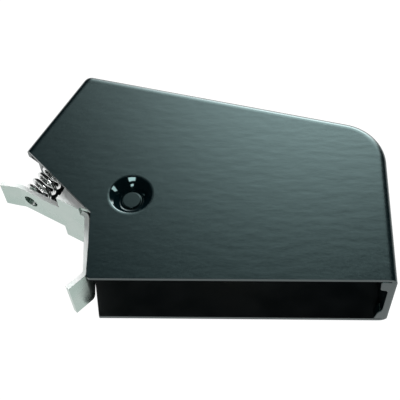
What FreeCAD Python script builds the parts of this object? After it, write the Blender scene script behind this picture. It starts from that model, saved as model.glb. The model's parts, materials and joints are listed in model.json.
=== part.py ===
import FreeCAD, Part
import math
import os

import Sketcher

# A compact electric boat horn in a folded steel housing, held by a sprung clip lever.
# Frame: millimetres, the flat back on Z = 0 and the face at +Z. The sound mouth looks along -Y.
# The origin lies on the back face, at mid width of the mouth and plate_centre above it.

doc = FreeCAD.newDocument("ClipHorn")
sizes = doc.addObject("Spreadsheet::Sheet", "Sizes")


# ---- lengths that know their value and the spreadsheet formula behind it ----

class Dim:
    def __init__(self, value, text):
        self.value = value
        self.text = text

    def __add__(self, other):
        other = dim(other)
        return Dim(self.value + other.value, f"({self.text} + {other.text})")

    def __sub__(self, other):
        other = dim(other)
        return Dim(self.value - other.value, f"({self.text} - {other.text})")

    def __mul__(self, other):
        other = dim(other)
        return Dim(self.value * other.value, f"({self.text} * {other.text})")

    def __truediv__(self, other):
        other = dim(other)
        return Dim(self.value / other.value, f"({self.text} / {other.text})")

    def __neg__(self):
        return Dim(-self.value, f"(0 - {self.text})")

    __rmul__ = __mul__

    def __radd__(self, other):
        return dim(other) + self

    def __rsub__(self, other):
        return dim(other) - self


def dim(number):
    return number if isinstance(number, Dim) else Dim(float(number), f"{float(number):.6f}")


def sine(angle):
    return Dim(math.sin(math.radians(angle.value)), f"sin({angle.text})")


def cosine(angle):
    return Dim(math.cos(math.radians(angle.value)), f"cos({angle.text})")


def size(alias, value):
    size.row += 1
    sizes.set(f"A{size.row}", alias)
    sizes.set(f"B{size.row}", str(value))
    sizes.setAlias(f"B{size.row}", alias)
    return Dim(float(value), f"Sizes.{alias}")


size.row = 0

# ---- driving dimensions ----

# housing
mouth_width = size("mouth_width", 76.0)
mouth_start = size("mouth_start", 0.5)
back_start = size("back_start", 0.8)
back_lean = size("back_lean", 3.25)
back_lean_height = size("back_lean_height", 22.1)
right_height = size("right_height", 44.7)
top_slope = size("top_slope", 13.3)
peak_left = size("peak_left", 5.05)
shoulder_left = size("shoulder_left", 19.0)
shoulder_height = size("shoulder_height", 38.35)
relief_start = size("relief_start", 3.6)
relief_full = size("relief_full", 10.0)
relief_reach = size("relief_reach", 2.4)
left_height = size("left_height", 18.83)
plate_centre = size("plate_centre", 22.0)
depth = size("depth", 23.25)
steel = size("steel", 1.0)
back_steel = size("back_steel", 1.2)
corner_radius = size("corner_radius", 12.5)
peak_radius = size("peak_radius", 2.4)
face_bend = size("face_bend", 1.8)
back_bend = size("back_bend", 0.9)
nest_gap = size("nest_gap", 0.1)
flange_top = size("flange_top", 20.0)
# pivot
pivot_across = size("pivot_across", 9.89)
pivot_up = size("pivot_up", 24.12)
cup_hole = size("cup_hole", 5.9)
dish_radius = size("dish_radius", 5.1)
dish_floor = size("dish_floor", 2.45)
dish_depth = size("dish_depth", 3.1)
nose_radius = size("nose_radius", 4.2)
nose_depth = size("nose_depth", 4.1)
pin_radius = size("pin_radius", 1.5)
pin_head = size("pin_head", 2.3)
pin_head_thick = size("pin_head_thick", 0.45)
spacer_radius = size("spacer_radius", 3.3)
running_gap = size("running_gap", 0.05)
washer_radius = size("washer_radius", 5.6)
washer_thick = size("washer_thick", 0.8)
# clip lever
lever_steel = size("lever_steel", 1.2)
lever_width = size("lever_width", 19.0)
tongue_width = size("tongue_width", 9.6)
tip_width = size("tip_width", 8.2)
web_width = size("web_width", 13.8)
ear_radius = size("ear_radius", 6.6)
lever_hole = size("lever_hole", 2.05)
collar_radius = size("collar_radius", 2.6)
collar_height = size("collar_height", 1.3)
# spring
coil_radius = size("coil_radius", 3.2)
wire_radius = size("wire_radius", 0.5)
coil_pitch = size("coil_pitch", 2.2)
spring_seat_across = size("spring_seat_across", -10.0)
spring_seat_up = size("spring_seat_up", 42.8)
# sounder
driver_across = size("driver_across", 36.0)
driver_up = size("driver_up", 31.5)
cup_radius = size("cup_radius", 15.5)
cup_steel = size("cup_steel", 1.0)
rim_radius = size("rim_radius", 18.8)
rim_top = size("rim_top", 12.0)
gasket = size("gasket", 0.4)
diaphragm_thick = size("diaphragm_thick", 0.3)
ring_thick = size("ring_thick", 1.0)
ring_inner = size("ring_inner", 14.8)
ring_rivet_circle = size("ring_rivet_circle", 17.1)
ring_rivet = size("ring_rivet", 0.8)
core_radius = size("core_radius", 3.0)
core_top = size("core_top", 10.2)
bobbin_radius = size("bobbin_radius", 8.5)
bobbin_wall = size("bobbin_wall", 0.8)
armature_gap = size("armature_gap", 0.5)
armature_radius = size("armature_radius", 12.8)
armature_thick = size("armature_thick", 1.3)
stud_radius = size("stud_radius", 2.0)
# contact breaker
breaker_up = size("breaker_up", 11.0)
blade_width = size("blade_width", 3.6)
blade_thick = size("blade_thick", 0.4)
moving_blade_at = size("moving_blade_at", 6.4)
fixed_blade_at = size("fixed_blade_at", 8.6)
contact_radius = size("contact_radius", 1.0)
contact_across = size("contact_across", 2.5)
pusher_radius = size("pusher_radius", 0.5)
pusher_across = size("pusher_across", 0.6)
screw_radius = size("screw_radius", 1.25)
screw_across = size("screw_across", 5.2)
# terminals
terminal_along = size("terminal_along", 60.0)
terminal_level = size("terminal_level", 5.2)
terminal_pitch = size("terminal_pitch", 13.0)
terminal_width = size("terminal_width", 6.3)
terminal_thick = size("terminal_thick", 0.8)
terminal_out = size("terminal_out", 8.0)
terminal_in = size("terminal_in", 3.0)
window_length = size("window_length", 24.0)
window_height = size("window_height", 6.0)

doc.recompute()

# ---- the frame: everything below is laid out from the left end of the mouth ----

FRAME_X = -mouth_width / 2
FRAME_Y = -plate_centre
peak_height = right_height + (mouth_width + peak_left) * (sine(top_slope) / cosine(top_slope))
MIDDLE = depth / 2


def place(thing, x=0, y=0, z=0, turn=None):
    """Puts a sub-part at x, y, z from the left end of the mouth, turned about Z in degrees."""
    spot = (FRAME_X + x, FRAME_Y + y, dim(z))
    rotation = FreeCAD.Rotation(FreeCAD.Vector(0, 0, 1), turn.value if turn else 0)
    thing.Placement = FreeCAD.Placement(FreeCAD.Vector(*[part.value for part in spot]), rotation)
    for axis, part in zip("xyz", spot):
        thing.setExpression(f".Placement.Base.{axis}", part.text)
    return thing


def shift(shape, z=0):
    """Moves a finished shape from the mouth's left end into the part's own frame."""
    shape.translate(FreeCAD.Vector(FRAME_X.value, FRAME_Y.value, dim(z).value))
    return shape


# ---- building blocks ----

def new_body(label, x=0, y=0, z=0, turn=None):
    body = doc.addObject("PartDesign::Body", label)
    return place(body, x, y, z, turn)


def sketch_on(body, role, lift=0):
    sketch = body.newObject("Sketcher::SketchObject", body.Name + "_sketch")
    plane = [item for item in body.Origin.OriginFeatures if item.Role == role][0]
    sketch.AttachmentSupport = (plane, [""])
    sketch.MapMode = "FlatFace"
    lift = dim(lift)
    sketch.AttachmentOffset = FreeCAD.Placement(FreeCAD.Vector(0, 0, lift.value), FreeCAD.Rotation())
    sketch.setExpression("AttachmentOffset.Base.z", lift.text)
    return sketch


def outline(sketch, corners):
    """Draws a closed outline of straight sides, each corner held by two sized constraints."""
    corners = [(dim(x), dim(y)) for x, y in corners]
    count = len(corners)
    for here in range(count):
        start = corners[here]
        end = corners[(here + 1) % count]
        sketch.addGeometry(Part.LineSegment(FreeCAD.Vector(start[0].value, start[1].value, 0),
                                            FreeCAD.Vector(end[0].value, end[1].value, 0)))
    first = sketch.GeometryCount - count
    for here in range(count):
        after = first + (here + 1) % count
        sketch.addConstraint(Sketcher.Constraint("Coincident", first + here, 2, after, 1))
    for here, corner in enumerate(corners):
        for kind, part in zip(("DistanceX", "DistanceY"), corner):
            number = sketch.addConstraint(
                Sketcher.Constraint(kind, -1, 1, first + here, 1, part.value))
            sketch.setExpression(f"Constraints[{number}]", part.text)


def circle(sketch, x, y, radius):
    x, y, radius = dim(x), dim(y), dim(radius)
    number = sketch.addGeometry(
        Part.Circle(FreeCAD.Vector(x.value, y.value, 0), FreeCAD.Vector(0, 0, 1), radius.value))
    for kind, part in (("DistanceX", x), ("DistanceY", y)):
        held = sketch.addConstraint(Sketcher.Constraint(kind, -1, 1, number, 3, part.value))
        sketch.setExpression(f"Constraints[{held}]", part.text)
    held = sketch.addConstraint(Sketcher.Constraint("Radius", number, radius.value))
    sketch.setExpression(f"Constraints[{held}]", radius.text)


def feature(body, kind, sketch, length=None, away=False):
    item = body.newObject(f"PartDesign::{kind}", f"{body.Name}_{kind.lower()}")
    item.Profile = sketch
    if length is not None:
        item.setExpression("Length", dim(length).text)
    item.Reversed = away
    doc.recompute()
    return item


def pad(body, corners, length, lift=0):
    sketch = sketch_on(body, "XY_Plane", lift)
    outline(sketch, corners)
    return feature(body, "Pad", sketch, length)


def disc_pad(body, x, y, radius, length, lift=0):
    sketch = sketch_on(body, "XY_Plane", lift)
    circle(sketch, x, y, radius)
    return feature(body, "Pad", sketch, length)


def drill(body, x, y, radius, length, lift=0):
    """Cuts a round hole upward from lift, and checks that it did cut."""
    before = body.Shape.Volume
    sketch = sketch_on(body, "XY_Plane", lift)
    circle(sketch, x, y, radius)
    feature(body, "Pocket", sketch, length, away=True)
    assert body.Shape.Volume < before - 1e-6, f"{body.Name}: hole cut nothing"


def cut_outline(body, corners, length, lift=0):
    before = body.Shape.Volume
    sketch = sketch_on(body, "XY_Plane", lift)
    outline(sketch, corners)
    feature(body, "Pocket", sketch, length, away=True)
    assert body.Shape.Volume < before - 1e-6, f"{body.Name}: pocket cut nothing"


def turned(label, x, y, profile):
    """A round piece about a vertical axis at x, y. The profile is radius and height pairs."""
    body = new_body(label, x, y)
    sketch = sketch_on(body, "XZ_Plane")
    outline(sketch, profile)
    spin = body.newObject("PartDesign::Revolution", label + "_turn")
    spin.Profile = sketch
    spin.ReferenceAxis = (sketch, ["V_Axis"])
    spin.Angle = 360
    doc.recompute()
    return body


def soften(body, edges, radius):
    """Fillets the named edges of the body's last feature."""
    before = body.Tip
    item = body.newObject("PartDesign::Fillet", body.Name + "_bend")
    item.Base = (before, edges)
    item.setExpression("Radius", radius.text)
    doc.recompute()
    return item


def edges_where(shape, test):
    return [f"Edge{number + 1}" for number, edge in enumerate(shape.Edges) if test(edge)]


def cylinder(label, x, y, z, radius, height):
    item = doc.addObject("Part::Cylinder", label)
    item.setExpression("Radius", dim(radius).text)
    item.setExpression("Height", dim(height).text)
    return place(item, x, y, z)


def block(label, x, y, z, length, width, height, turn=None):
    item = doc.addObject("Part::Box", label)
    for side, part in (("Length", length), ("Width", width), ("Height", height)):
        item.setExpression(side, dim(part).text)
    return place(item, x, y, z, turn)


def joined(label, pieces):
    item = doc.addObject("Part::MultiFuse", label)
    item.Shapes = pieces
    return item


def cut_away(label, base, tools):
    item = doc.addObject("Part::Cut", label)
    item.Base = base
    item.Tool = tools[0] if len(tools) == 1 else joined(label + "_tools", tools)
    return item


# ---- places along the sloping top wall ----

def on_top_wall(along, inward):
    """A point this far along the top wall from its left peak, and this far inside it."""
    x = -peak_left + along * cosine(top_slope) - inward * sine(top_slope)
    y = peak_height - along * sine(top_slope) - inward * cosine(top_slope)
    return x, y


def top_wall_strip(start, end, outer, inner):
    return [on_top_wall(start, outer), on_top_wall(end, outer),
            on_top_wall(end, inner), on_top_wall(start, inner)]


HOUSING = [
    (mouth_start, dim(0)),
    (mouth_width, dim(0)),
    (mouth_width, right_height),
    (-peak_left, peak_height),
    (-shoulder_left, shoulder_height),
    (dim(0), left_height),
]
BACK_OUTLINE = [(back_start, dim(0)), *HOUSING[1:5], (-back_lean, back_lean_height)]


def near_vertical_edge(x, y):
    """A test for the upright edge that stands over a corner of the housing."""
    def test(edge):
        if len(edge.Vertexes) != 2:
            return False
        low, high = edge.Vertexes[0].Point, edge.Vertexes[1].Point
        upright = abs(low.z - high.z) > 1 and math.hypot(low.x - high.x, low.y - high.y) < 0.01
        return upright and math.hypot(low.x - x, low.y - y) < 0.05
    return test


def round_corners(body):
    """Rounds the two upright corners that the wall runs round."""
    for corner, radius in ((2, corner_radius), (3, peak_radius)):
        x, y = (part.value for part in HOUSING[corner])
        found = edges_where(body.Tip.Shape, near_vertical_edge(x, y))
        soften(body, found, radius)


def outer_run(shape, level):
    """The walled part of the outline at this height: every side except the mouth and the left."""
    def test(edge):
        ends = [vertex.Point for vertex in edge.Vertexes]
        if any(abs(end.z - level) > 0.01 for end in ends):
            return False
        middle = edge.valueAt((edge.FirstParameter + edge.LastParameter) / 2)
        return middle.y > 0.01 and not is_left_side(middle)
    return edges_where(shape, test)


def is_left_side(point):
    """True on the two open sides at the left, below the shoulder."""
    if point.x < 0.9 and point.y < left_height.value:
        return True
    lean = shoulder_left.value / (shoulder_height.value - left_height.value)
    on_slant = abs(point.x + (point.y - left_height.value) * lean) < 0.6
    return on_slant and left_height.value < point.y < shoulder_height.value


# ---- housing ----

def shell_blank():
    """The face sheet with its wall folded round the shoulder, the top and the right side, in one piece."""
    body = new_body("shell_blank", z=back_steel)
    pad(body, HOUSING, depth - back_steel)
    round_corners(body)
    face_level = (depth - back_steel).value
    soften(body, outer_run(body.Tip.Shape, face_level), face_bend)
    solid = body.Tip.Shape
    open_sides = []
    for number, side in enumerate(solid.Faces):
        middle = side.CenterOfMass
        flat = side.Surface.TypeId == "Part::GeomPlane"
        if flat and (middle.y < 0.01 or middle.z < 0.01 or is_left_side(middle)):
            open_sides.append(f"Face{number + 1}")
    before = body.Tip
    hollow = body.newObject("PartDesign::Thickness", "shell_hollow")
    hollow.Base = (before, open_sides)
    hollow.Mode = 0
    hollow.Join = 0
    hollow.setExpression("Value", steel.text)
    hollow.Reversed = True
    doc.recompute()
    drill(body, pivot_across, pivot_up, cup_hole, steel * 2, depth - back_steel - steel * 1.5)
    window = top_wall_strip(terminal_along - window_length / 2, terminal_along + window_length / 2, -0.5,
                            steel + 0.5)
    cut_outline(body, window, window_height, terminal_level - window_height / 2 - back_steel)
    return body


def shoulder_relief():
    """The strip cut off the shoulder wall's free end, widening with depth, to clear the lever spring."""
    corner = FreeCAD.Vector(-shoulder_left.value, shoulder_height.value, 0)
    peak = FreeCAD.Vector(-peak_left.value, peak_height.value, 0)
    run = (peak - corner).normalize()
    inward = FreeCAD.Vector(run.y, -run.x, 0)
    start_level = (depth - relief_start).value
    full_level = (depth - relief_full).value
    profile = [(-3, start_level), (0, start_level), (relief_reach.value, full_level),
               (relief_reach.value, -1), (-3, -1)]
    spots = [corner - inward + run * along + FreeCAD.Vector(0, 0, level) for along, level in profile]
    outline = Part.Face(Part.makePolygon(spots + spots[:1]))
    return part_feature("shoulder_relief", shift(outline.extrude(inward * (steel.value + 2))))


def front_shell():
    """The folded shell as its flat stretches: face, shoulder, top, round corner and right side."""
    blank = cut_away("shell_relieved", shell_blank(), [shoulder_relief()])
    margin = 30
    under_bend = depth - face_bend
    corner_reach = corner_radius * (1 - sine(top_slope)) / cosine(top_slope)
    corner_across = mouth_width - corner_reach * cosine(top_slope)
    corner_up = right_height - corner_reach
    peak_across = 3 - peak_left
    wide = mouth_width + 2 * margin
    stretches = {
        "face_sheet": (-margin, -margin, under_bend, wide, wide, margin),
        "shoulder_wall": (-margin, -margin, 0, peak_across + margin, wide, under_bend),
        "top_wall": (peak_across, 20, 0, corner_across - peak_across, wide, under_bend),
        "corner_wall": (corner_across, corner_up, 0, margin, margin, under_bend),
        "right_wall": (corner_across, -margin, 0, margin, corner_up + margin, under_bend),
    }
    for label, (x, y, z, length, width, height) in stretches.items():
        piece = doc.addObject("Part::Common", label)
        piece.Base = blank
        piece.Tool = block(label + "_reach", x, y, z, length, width, height)


def back_plate():
    """The flat back sheet, and the two flanges that stand on it inside the housing wall."""
    body = new_body("back_plate")
    pad(body, BACK_OUTLINE, back_steel)
    round_corners(body)
    soften(body, outer_run(body.Tip.Shape, 0.0), back_bend)
    drill(body, pivot_across, pivot_up, cup_hole, back_steel * 2, -0.5)
    drill(body, driver_across + screw_across, driver_up - breaker_up, 3.0, back_steel * 2, -0.5)
    outer = steel + nest_gap
    inner = outer + steel
    right = mouth_width - outer
    flange = new_body("right_flange")
    pad(flange, [(right - steel, dim(0)), (right, dim(0)), (right, right_height - corner_radius),
                 (right - steel, right_height - corner_radius)], flange_top - back_steel, back_steel)
    top_length = (mouth_width + peak_left) / cosine(top_slope)
    flange = new_body("top_flange")
    pad(flange, top_wall_strip(peak_radius * 2, top_length - corner_radius, outer, inner),
        flange_top - back_steel, back_steel)
    window = top_wall_strip(terminal_along - window_length / 2, terminal_along + window_length / 2,
                            outer - 0.05, inner + 0.5)
    cut_outline(flange, window, window_height, terminal_level - window_height / 2)


# ---- pivot ----

def pivot_cup(label, face, inward):
    """A pressed cup let into a sheet: a dish on the outside, a round nose inside for the lever's ear."""
    def at(radius, down):
        return dim(radius), face + inward * dim(down)
    turned(label, pivot_across, pivot_up, [
        at(pin_radius + running_gap, dish_depth), at(dish_floor, dish_depth), at(3.3, 1.7),
        at(dish_radius, 0.35), at(dish_radius + 0.45, 0), at(cup_hole - 0.02, 0), at(cup_hole - 0.02, 1.0),
        at(nose_radius + 0.25, 1.7), at(nose_radius, 1.95), at(nose_radius, nose_depth - 0.4),
        at(nose_radius - 0.4, nose_depth), at(pin_radius + running_gap, nose_depth)])


def pivot_pin():
    """The pin that ties the two cups together, with a flat staked head in each dish."""
    low = dish_depth - pin_head_thick
    high = depth - low
    turned("pivot_pin", pivot_across, pivot_up, [
        (dim(0), low), (pin_head - 0.2, low), (pin_head, low + 0.2), (pin_head, dish_depth),
        (pin_radius, dish_depth), (pin_radius, depth - dish_depth), (pin_head, depth - dish_depth),
        (pin_head, high - 0.2), (pin_head - 0.2, high), (dim(0), high)])


def ring(label, x, y, inner, outer, low, high):
    return turned(label, x, y, [(inner, low), (outer, low), (outer, high), (inner, high)])


def pivot_stack():
    """The cups, the pin, and the spacer tube and washers that hold the cups apart."""
    pivot_cup("pivot_cup_front", depth, -1)
    pivot_cup("pivot_cup_back", dim(0), 1)
    pivot_pin()
    bore = pin_radius + running_gap
    low = nose_depth + washer_thick
    high = depth - low
    ring("pivot_spacer", pivot_across, pivot_up, bore, spacer_radius, low, high)
    ring("pivot_washer_back", pivot_across, pivot_up, bore, washer_radius, nose_depth, low)
    ring("pivot_washer_front", pivot_across, pivot_up, bore, washer_radius, high, depth - nose_depth)


# ---- bent strips: one path of straight runs with a bend radius at each inner corner ----

def unit(vector):
    return vector * (1.0 / vector.Length)


def strip_face(points, bends, thick):
    """The side view of a bent strip. The points run along its right-hand side, seen along the path."""
    up = FreeCAD.Vector(0, 0, 1)
    points = [FreeCAD.Vector(x, y, 0) for x, y in points]
    sides = []
    for offset in (0.0, thick):
        shifted = []
        for here in range(len(points)):
            normals = []
            if here > 0:
                normals.append(up.cross(unit(points[here] - points[here - 1])))
            if here < len(points) - 1:
                normals.append(up.cross(unit(points[here + 1] - points[here])))
            if len(normals) == 1:
                shifted.append(points[here] + normals[0] * offset)
            else:
                mitre = unit(normals[0] + normals[1])
                shifted.append(points[here] + mitre * (offset / mitre.dot(normals[0])))
        edges = []
        start = shifted[0]
        for here in range(1, len(shifted) - 1):
            before = unit(shifted[here - 1] - shifted[here])
            after = unit(shifted[here + 1] - shifted[here])
            turns_left = unit(points[here] - points[here - 1]).cross(points[here + 1] - points[here]).z > 0
            inside = turns_left == (offset > 0)
            radius = bends[here - 1] + (0.0 if inside else thick)
            half = before.getAngle(after) / 2
            reach = radius / math.tan(half)
            entry = shifted[here] + before * reach
            leave = shifted[here] + after * reach
            centre = shifted[here] + unit(before + after) * (radius / math.sin(half))
            middle = centre + unit(shifted[here] - centre) * radius
            edges.append(Part.LineSegment(start, entry).toShape())
            edges.append(Part.Arc(entry, middle, leave).toShape())
            start = leave
        edges.append(Part.LineSegment(start, shifted[-1]).toShape())
        sides.append((edges, shifted[0], shifted[-1]))
    (right, right_start, right_end), (left, left_start, left_end) = sides
    caps = [Part.LineSegment(right_end, left_end).toShape(), Part.LineSegment(left_start, right_start).toShape()]
    return Part.Face(Part.Wire(Part.__sortEdges__(right + left + caps)))


def slab(points, low, high):
    """A flat piece with straight sides between two heights."""
    ring_points = [FreeCAD.Vector(x, y, low) for x, y in points]
    return Part.Face(Part.makePolygon(ring_points + ring_points[:1])).extrude(FreeCAD.Vector(0, 0, high - low))


def part_feature(label, shape):
    item = doc.addObject("Part::Feature", label)
    item.Shape = shape
    return item


# ---- clip lever ----

TIP = (-26.7, 31.35)
KINK = (-21.35, 30.4)
STEP = (-9.87, 24.17)
WEB_TOP = (-2.35, 20.2)
WEB_FOOT = (-1.25, 4.1)
FLARE_TIP = (-5.2, 0.1)
HOLE = (-18.77, 29.21)
WEB_START = (-3.3, 21.2)


def tongue_direction():
    run = FreeCAD.Vector(STEP[0] - KINK[0], STEP[1] - KINK[1], 0)
    return unit(run)


def clip_lever():
    """One formed strip: thumb tongue, wide shoulder with two pivot ears, web and flared jaw foot."""
    thick = lever_steel.value
    middle = MIDDLE.value
    path = [TIP, KINK, WEB_TOP, WEB_FOOT, FLARE_TIP]
    profile = strip_face(path, [3.0, 0.9, 1.0], thick)
    half = lever_width.value / 2
    strip = profile.extrude(FreeCAD.Vector(0, 0, half * 2))
    strip.translate(FreeCAD.Vector(0, 0, middle - half))
    along = tongue_direction()
    across = FreeCAD.Vector(-along.y, along.x, 0)
    step = FreeCAD.Vector(*STEP, 0)

    def slice_box(start, length, keep_half):
        """Two blocks that trim the strip to a narrower width over a stretch of the tongue."""
        blocks = []
        for side in (-1, 1):
            corner = step + along * start - across * 12
            low = middle + keep_half if side > 0 else middle - half - 1
            high = middle + half + 1 if side > 0 else middle - keep_half
            sides = [corner, corner + along * length, corner + along * length + across * 24,
                     corner + across * 24]
            blocks.append(slab([(spot.x, spot.y) for spot in sides], low, high))
        return blocks

    tools = slice_box(-30, 30, tongue_width.value / 2)
    narrow = web_width.value / 2
    for low, high in ((middle - half - 1, middle - narrow), (middle + narrow, middle + half + 1)):
        tools.append(slab([(-12, -3), (4, -3), (4, 19.9), (WEB_START[0] + 0.5, WEB_START[1] + 1.6),
                           (WEB_START[0] - 0.3, WEB_START[1] - 0.5), (-12, 14)], low, high))
    lever = strip.cut(tools)
    # the tip narrows in a gentle taper
    for side in (-1, 1):
        edge = middle + side * tip_width.value / 2
        wide = middle + side * (tongue_width.value / 2 + 0.5)
        corners = [FreeCAD.Vector(-30, 20, edge), FreeCAD.Vector(-19.5, 20, wide),
                   FreeCAD.Vector(-19.5, 20, wide + side * 2), FreeCAD.Vector(-30, 20, wide + side * 2)]
        wedge = Part.Face(Part.makePolygon(corners + corners[:1])).extrude(FreeCAD.Vector(0, 18, 0))
        lever = lever.cut(wedge)
    pivot = FreeCAD.Vector(pivot_across.value, pivot_up.value, 0)
    ear = ear_radius.value
    outline_points = [(-9.1, 24.6), (-3.4, 21.4), (pivot.x - 1.2, pivot.y - ear + 0.12),
                      (pivot.x + 1.0, pivot.y + ear - 0.08), (-5.6, 28.6), (-8.0, 27.2)]
    pieces = [lever]
    for low in (middle - half, middle + half - thick):
        disc = Part.makeCylinder(ear, thick, pivot + FreeCAD.Vector(0, 0, low))
        pieces.append(slab(outline_points, low, low + thick).fuse(disc))
    collar_at = FreeCAD.Vector(*HOLE, middle)
    collar = Part.makeCylinder(collar_radius.value, thick + collar_height.value, collar_at, across)
    pieces.append(collar)
    lever = pieces[0].multiFuse(pieces[1:]).removeSplitter()
    hole = Part.makeCylinder(lever_hole.value, 12, collar_at - across * 4, across)
    bore = Part.makeCylinder(nose_radius.value + running_gap.value, 30, pivot)
    lever = lever.cut([hole, bore])
    return part_feature("clip_lever", shift(lever))


def spring_axis():
    """Start and direction of the lever spring, square to the tongue and in line with its hole."""
    along = tongue_direction()
    across = FreeCAD.Vector(-along.y, along.x, 0)
    start = FreeCAD.Vector(*HOLE, MIDDLE.value) + across * (lever_steel.value + 0.08)
    seat = FreeCAD.Vector(spring_seat_across.value, spring_seat_up.value, MIDDLE.value)
    direction = unit(seat - start)
    return start, direction, (seat - start).Length


def lever_spring():
    """The compression spring between the tongue and its seat."""
    start, direction, length = spring_axis()
    wire = wire_radius.value
    rise = length - 2 * wire
    helix = Part.makeHelix(coil_pitch.value, rise, coil_radius.value)
    section = Part.Wire(Part.Circle(FreeCAD.Vector(coil_radius.value, 0, 0), FreeCAD.Vector(0, 1, 0),
                                    wire).toShape())
    coil = Part.Wire(helix).makePipeShell([section], True, True)
    coil.translate(FreeCAD.Vector(0, 0, wire))
    turn = FreeCAD.Rotation(FreeCAD.Vector(0, 0, 1), direction)
    coil.Placement = FreeCAD.Placement(start, turn).multiply(coil.Placement)
    return part_feature("lever_spring", shift(coil))


def spring_seat():
    """An angle bracket on the back plate and the spigot that centres the spring."""
    start, direction, length = spring_axis()
    seat = start + direction * (length + 0.02)
    side = FreeCAD.Vector(direction.y, -direction.x, 0)
    thick = lever_steel.value
    base = back_steel.value

    def plan(along_low, along_high, side_low, side_high):
        spots = [seat + direction * a + side * b for a, b in
                 ((along_low, side_low), (along_high, side_low), (along_high, side_high), (along_low, side_high))]
        return [(spot.x, spot.y) for spot in spots]

    upright = slab(plan(0, thick, -4.0, 4.2), base, MIDDLE.value + 5)
    foot = slab(plan(0, 9.0, -4.0, 4.2), base, base + thick)
    hole = Part.makeCylinder(1.55, 4, seat - direction, direction)
    bracket = upright.fuse(foot).removeSplitter().cut(hole)
    part_feature("spring_seat", shift(bracket))
    spigot = Part.makeCylinder(2.2, 2.5, seat - direction * 2.5, direction)
    tail = Part.makeCylinder(1.5, 2.2, seat - direction * 0.1, direction)
    staked = Part.makeCylinder(2.3, 0.6, seat + direction * (thick + 0.0), direction)
    part_feature("spring_spigot", shift(spigot.multiFuse([tail, staked]).removeSplitter()))


# ---- sounder ----

def driver_cup():
    """The pressed cup that carries the coil, with a flat rim for the diaphragm."""
    inner = cup_radius - cup_steel
    base = back_steel
    body = turned("driver_cup", driver_across, driver_up, [
        (dim(2.05), base), (cup_radius, base), (cup_radius, rim_top - cup_steel),
        (rim_radius, rim_top - cup_steel), (rim_radius, rim_top), (inner, rim_top),
        (inner, base + cup_steel), (dim(2.05), base + cup_steel)])
    for x, y in rivet_circle():
        drill(body, x, y, ring_rivet + running_gap, cup_steel * 2, rim_top - cup_steel * 1.5)
    drill(body, screw_across, -breaker_up, screw_radius + running_gap, cup_steel * 2, base - 0.5)
    for across in stack_rivets_across():
        drill(body, across, -breaker_up, dim(0.65), cup_steel * 2, base - 0.5)
    return body


def rivet_circle():
    for number in range(6):
        angle = dim(30 + 60 * number)
        yield ring_rivet_circle * cosine(angle), ring_rivet_circle * sine(angle)


def stack_rivets_across():
    return [dim(-5.2), dim(-2.9)]


def punched_ring(label, inner, low, thick):
    body = turned(label, driver_across, driver_up,
                  [(inner, low), (rim_radius, low), (rim_radius, low + thick), (inner, low + thick)])
    for x, y in rivet_circle():
        drill(body, x, y, ring_rivet + running_gap, thick + 1, low - 0.5)
    return body


def diaphragm_stack():
    """Gaskets, diaphragm and clamp ring on the cup's rim, held by six rivets."""
    punched_ring("rear_gasket", ring_inner, rim_top, gasket)
    sheet = rim_top + gasket
    punched_ring("diaphragm", stud_radius + running_gap, sheet, diaphragm_thick)
    punched_ring("front_gasket", ring_inner, sheet + diaphragm_thick, gasket)
    clamp = sheet + diaphragm_thick + gasket
    punched_ring("clamp_ring", ring_inner, clamp, ring_thick)
    pieces = []
    low = rim_top - cup_steel
    for number, (x, y) in enumerate(rivet_circle()):
        spot = (driver_across + x, driver_up + y)
        pieces.append(cylinder(f"rivet_shank_{number}", *spot, low - 0.3, ring_rivet, clamp + ring_thick - low + 0.6))
        pieces.append(cylinder(f"rivet_tail_{number}", *spot, low - 0.7, dim(1.4), 0.7))
        pieces.append(cylinder(f"rivet_top_{number}", *spot, clamp + ring_thick, dim(1.4), 0.7))
    joined("ring_rivets", pieces)


def coil_parts():
    """Bobbin, winding and the riveted pole core."""
    floor = back_steel + cup_steel
    low = floor + 0.05
    high = core_top - 0.5
    bore = core_radius + running_gap
    neck = bore + bobbin_wall
    turned("coil_bobbin", driver_across, driver_up, [
        (bore, low), (bobbin_radius, low), (bobbin_radius, low + bobbin_wall), (neck, low + bobbin_wall),
        (neck, high - bobbin_wall), (bobbin_radius, high - bobbin_wall), (bobbin_radius, high), (bore, high)])
    ring("coil_winding", driver_across, driver_up, neck, bobbin_radius - 0.6,
         low + bobbin_wall, high - bobbin_wall)
    turned("pole_core", driver_across, driver_up, [
        (dim(0), back_steel + 0.1), (dim(2.0), back_steel + 0.1), (dim(2.0), floor), (core_radius, floor),
        (core_radius, core_top), (dim(0), core_top)])


def armature_parts():
    """The armature plate with its stud, the nut, the tone disc and the fibre pusher."""
    low = core_top + armature_gap
    high = low + armature_thick
    shoulder = rim_top + gasket
    stud_top = shoulder + 4.4
    turned("armature", driver_across, driver_up, [
        (dim(0), low), (armature_radius, low), (armature_radius, high), (dim(4), high), (dim(4), shoulder),
        (stud_radius, shoulder), (stud_radius, stud_top), (dim(0), stud_top)])
    disc_low = shoulder + diaphragm_thick
    ring("tone_disc", driver_across, driver_up, stud_radius + running_gap, dim(10.5), disc_low, disc_low + 0.8)
    nut = new_body("armature_nut", driver_across, driver_up)
    sketch = sketch_on(nut, "XY_Plane", disc_low + 0.8)
    across = dim(3.2)
    outline(sketch, [(across * cosine(dim(60 * side)), across * sine(dim(60 * side))) for side in range(6)])
    circle(sketch, 0, 0, stud_radius + 0.02)
    feature(nut, "Pad", sketch, 1.8)
    tip = moving_blade_at + blade_thick + 0.03
    cylinder("pusher_pin", driver_across + pusher_across, driver_up - breaker_up, tip, pusher_radius, low - tip)


# ---- contact breaker ----

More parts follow.
